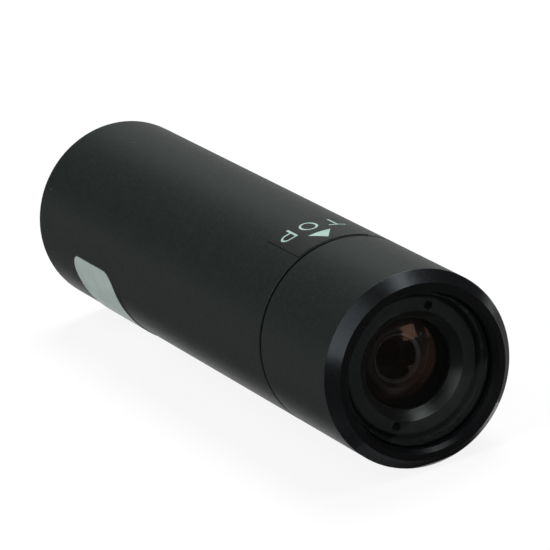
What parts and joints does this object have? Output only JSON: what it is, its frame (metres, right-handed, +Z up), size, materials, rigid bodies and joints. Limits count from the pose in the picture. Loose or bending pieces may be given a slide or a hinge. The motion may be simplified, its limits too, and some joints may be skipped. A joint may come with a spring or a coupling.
{
  "type": "tube security camera",
  "caption": "Slim cylindrical security camera with a screw-on window cap, a focusing board lens, circuit boards inside the tube and a sealed cable inlet at the rear.",
  "frame": {"origin": "on the optical axis at the middle of the housing tube, where a bracket's clamp ring grips it", "axes": "+Y along the optical axis towards the cable end, the window looks towards -Y, +Z up under the top mark"},
  "size_m": [0.0201, 0.0747, 0.0201],
  "materials": {
    "anodised_black": "satin black anodised, glossier on the turned face chamfer",
    "window_glass": "clear flat glass",
    "seal_rubber": "matt black",
    "lens_black": "black anodised",
    "lens_glass": "coated optical glass",
    "filter_glass": "polished filter glass",
    "moulded_black": "fine moulded texture",
    "sensor_case": "dull grey",
    "circuit_board": "solder resist over fibreglass",
    "bright_steel": "bright",
    "chip_resin": "moulded resin",
    "socket_plastic": "natural moulded",
    "top_film": "dark film with a pale printed mark",
    "side_film": "pale coated label, blank"
  },
  "bodies": {
    "housing": {"housing_tube": "anodised_black", "rear_cap": "anodised_black", "rear_seal_ring": "seal_rubber", "cable_gland": "seal_rubber", "top_label": "top_film", "side_label": "side_film", "lens_holder": "moulded_black", "infrared_filter": "filter_glass", "image_sensor": "sensor_case", "sensor_cover_glass": "filter_glass", "sensor_board": "circuit_board", "holder_screws": "bright_steel", "board_carrier": "moulded_black", "signal_board": "circuit_board", "power_board": "circuit_board", "signal_processor": "chip_resin", "timing_chip": "chip_resin", "voltage_regulator": "chip_resin", "clock_crystal": "bright_steel", "power_inductor": "chip_resin", "filter_capacitors": "bright_steel", "upper_pin_header": "moulded_black", "lower_pin_header": "moulded_black", "board_link_header": "moulded_black", "cable_socket": "socket_plastic"},
    "cap_seal": {"cap_seal_ring": "seal_rubber"},
    "front_cap": {"front_cap": "anodised_black", "window_glass": "window_glass", "window_gasket": "seal_rubber"},
    "lens": {"lens_barrel": "lens_black", "focus_friction_ring": "seal_rubber", "front_lens_element": "lens_glass", "middle_lens_element": "lens_glass", "aperture_stop": "lens_black", "lens_spacer_ring": "lens_black", "rear_lens_element": "lens_glass", "lens_retaining_ring": "lens_black"}
  },
  "joints": [
    {"name": "cap_advance", "type": "slide", "parent": "housing", "child": "cap_seal", "axis": [0, -1, 0], "range_m": [0, 0.0045]},
    {"name": "cap_turn", "type": "hinge", "parent": "cap_seal", "child": "front_cap", "pos_m": [0, -0.04, 0], "axis": [0, -1, 0], "range_deg": [0, 2160]},
    {"name": "lens_focus", "type": "hinge", "parent": "housing", "child": "lens", "pos_m": [0, -0.035, 0], "axis": [0, -1, 0], "range_deg": [-90, 90]}
  ],
  "couplings": [
    {"joint": "cap_advance", "follows": "cap_turn", "m_per_rad": 0.00011937}
  ]
}
